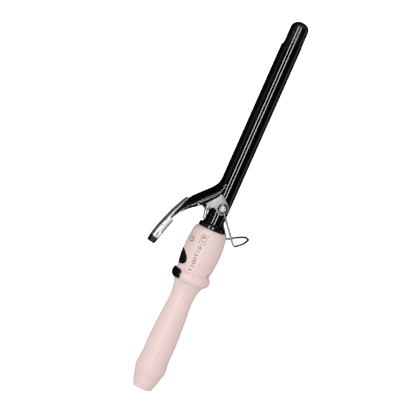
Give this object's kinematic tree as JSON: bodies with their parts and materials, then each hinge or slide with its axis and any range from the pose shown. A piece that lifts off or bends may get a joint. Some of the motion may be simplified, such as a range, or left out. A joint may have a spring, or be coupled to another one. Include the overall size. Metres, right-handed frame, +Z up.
{
  "type": "clamp curling iron",
  "caption": "Clamp curling iron: heated round barrel with a sprung hair clamp and thumb lever, waisted two-part grip, display window, press button and folding wire stand.",
  "frame": {"origin": "middle of the footprint of the iron lying on its side, on the surface it lies on", "axes": "+X along the barrel towards the tip, +Y towards the thumb lever and the button, +Z up along the pivot screws"},
  "size_m": [0.3944, 0.0936, 0.0461],
  "materials": {
    "grip_paint": "pale pink soft-touch coating on moulded plastic",
    "black_gloss": "glossy black moulded plastic",
    "black_plastic": "black heat-resistant plastic",
    "black_enamel": "glossy black ceramic coating on metal",
    "steel": "satin pressed steel",
    "bright_steel": "bright plated steel",
    "spring_steel": "drawn spring wire",
    "thumb_chrome": "bright plated moulding",
    "aluminium": "plain extruded aluminium",
    "ceramic": "white ceramic fibre board",
    "board": "green glass-epoxy laminate",
    "component": "yellow dipped plastic",
    "lead": "glass-braid sleeved wire"
  },
  "bodies": {
    "housing": {"front_grip_shell": "grip_paint", "rear_grip_shell": "grip_paint", "display_window": "black_gloss", "grip_screws": "steel", "collar": "black_plastic", "barrel": "black_enamel", "tip_cap": "black_plastic", "root_insulator": "ceramic", "pivot_bosses": "steel", "pivot_washers": "black_plastic", "pivot_screws": "bright_steel", "heat_spreader_front": "aluminium", "heat_spreader_rear": "aluminium", "heater_element": "ceramic", "heater_leads": "lead", "temperature_sensor": "lead", "thermal_fuse": "lead", "circuit_board": "board", "display_module": "black_gloss", "film_capacitor": "component", "triac": "black_plastic", "tact_switch": "black_plastic"},
    "clamp": {"clamp_plate": "black_enamel", "hinge_bracket": "steel", "spring_pin": "steel", "clamp_spring": "spring_steel", "thumb_rest": "thumb_chrome", "thumb_rest_cap": "black_plastic"},
    "stand": {"wire_stand": "bright_steel"},
    "button": {"power_button": "black_plastic", "switch_plunger": "black_gloss"},
    "gland": {"cord_gland": "black_plastic"}
  },
  "joints": [
    {"name": "clamp_hinge", "type": "hinge", "parent": "housing", "child": "clamp", "pos_m": [-0.001, -0.00849, 0.02304], "axis": [0, 0, 1], "range_deg": [0, 20], "stiffness_Nm_per_rad": 0.35, "springref_deg": -20.05, "deforming": ["clamp_spring"]},
    {"name": "stand_hinge", "type": "hinge", "parent": "housing", "child": "stand", "pos_m": [-0.001, -0.00849, 0.02304], "axis": [0, 0, 1], "range_deg": [-30.5, 60.5]},
    {"name": "power_button_press", "type": "slide", "parent": "housing", "child": "button", "axis": [0, -1, 0], "range_m": [0, 0.0008], "stiffness_N_per_m": 1500, "springref_m": -0.0006},
    {"name": "cord_swivel", "type": "hinge", "parent": "housing", "child": "gland", "pos_m": [-0.193, -0.00939, 0.02304], "axis": [1, 0, 0], "continuous": true}
  ]
}
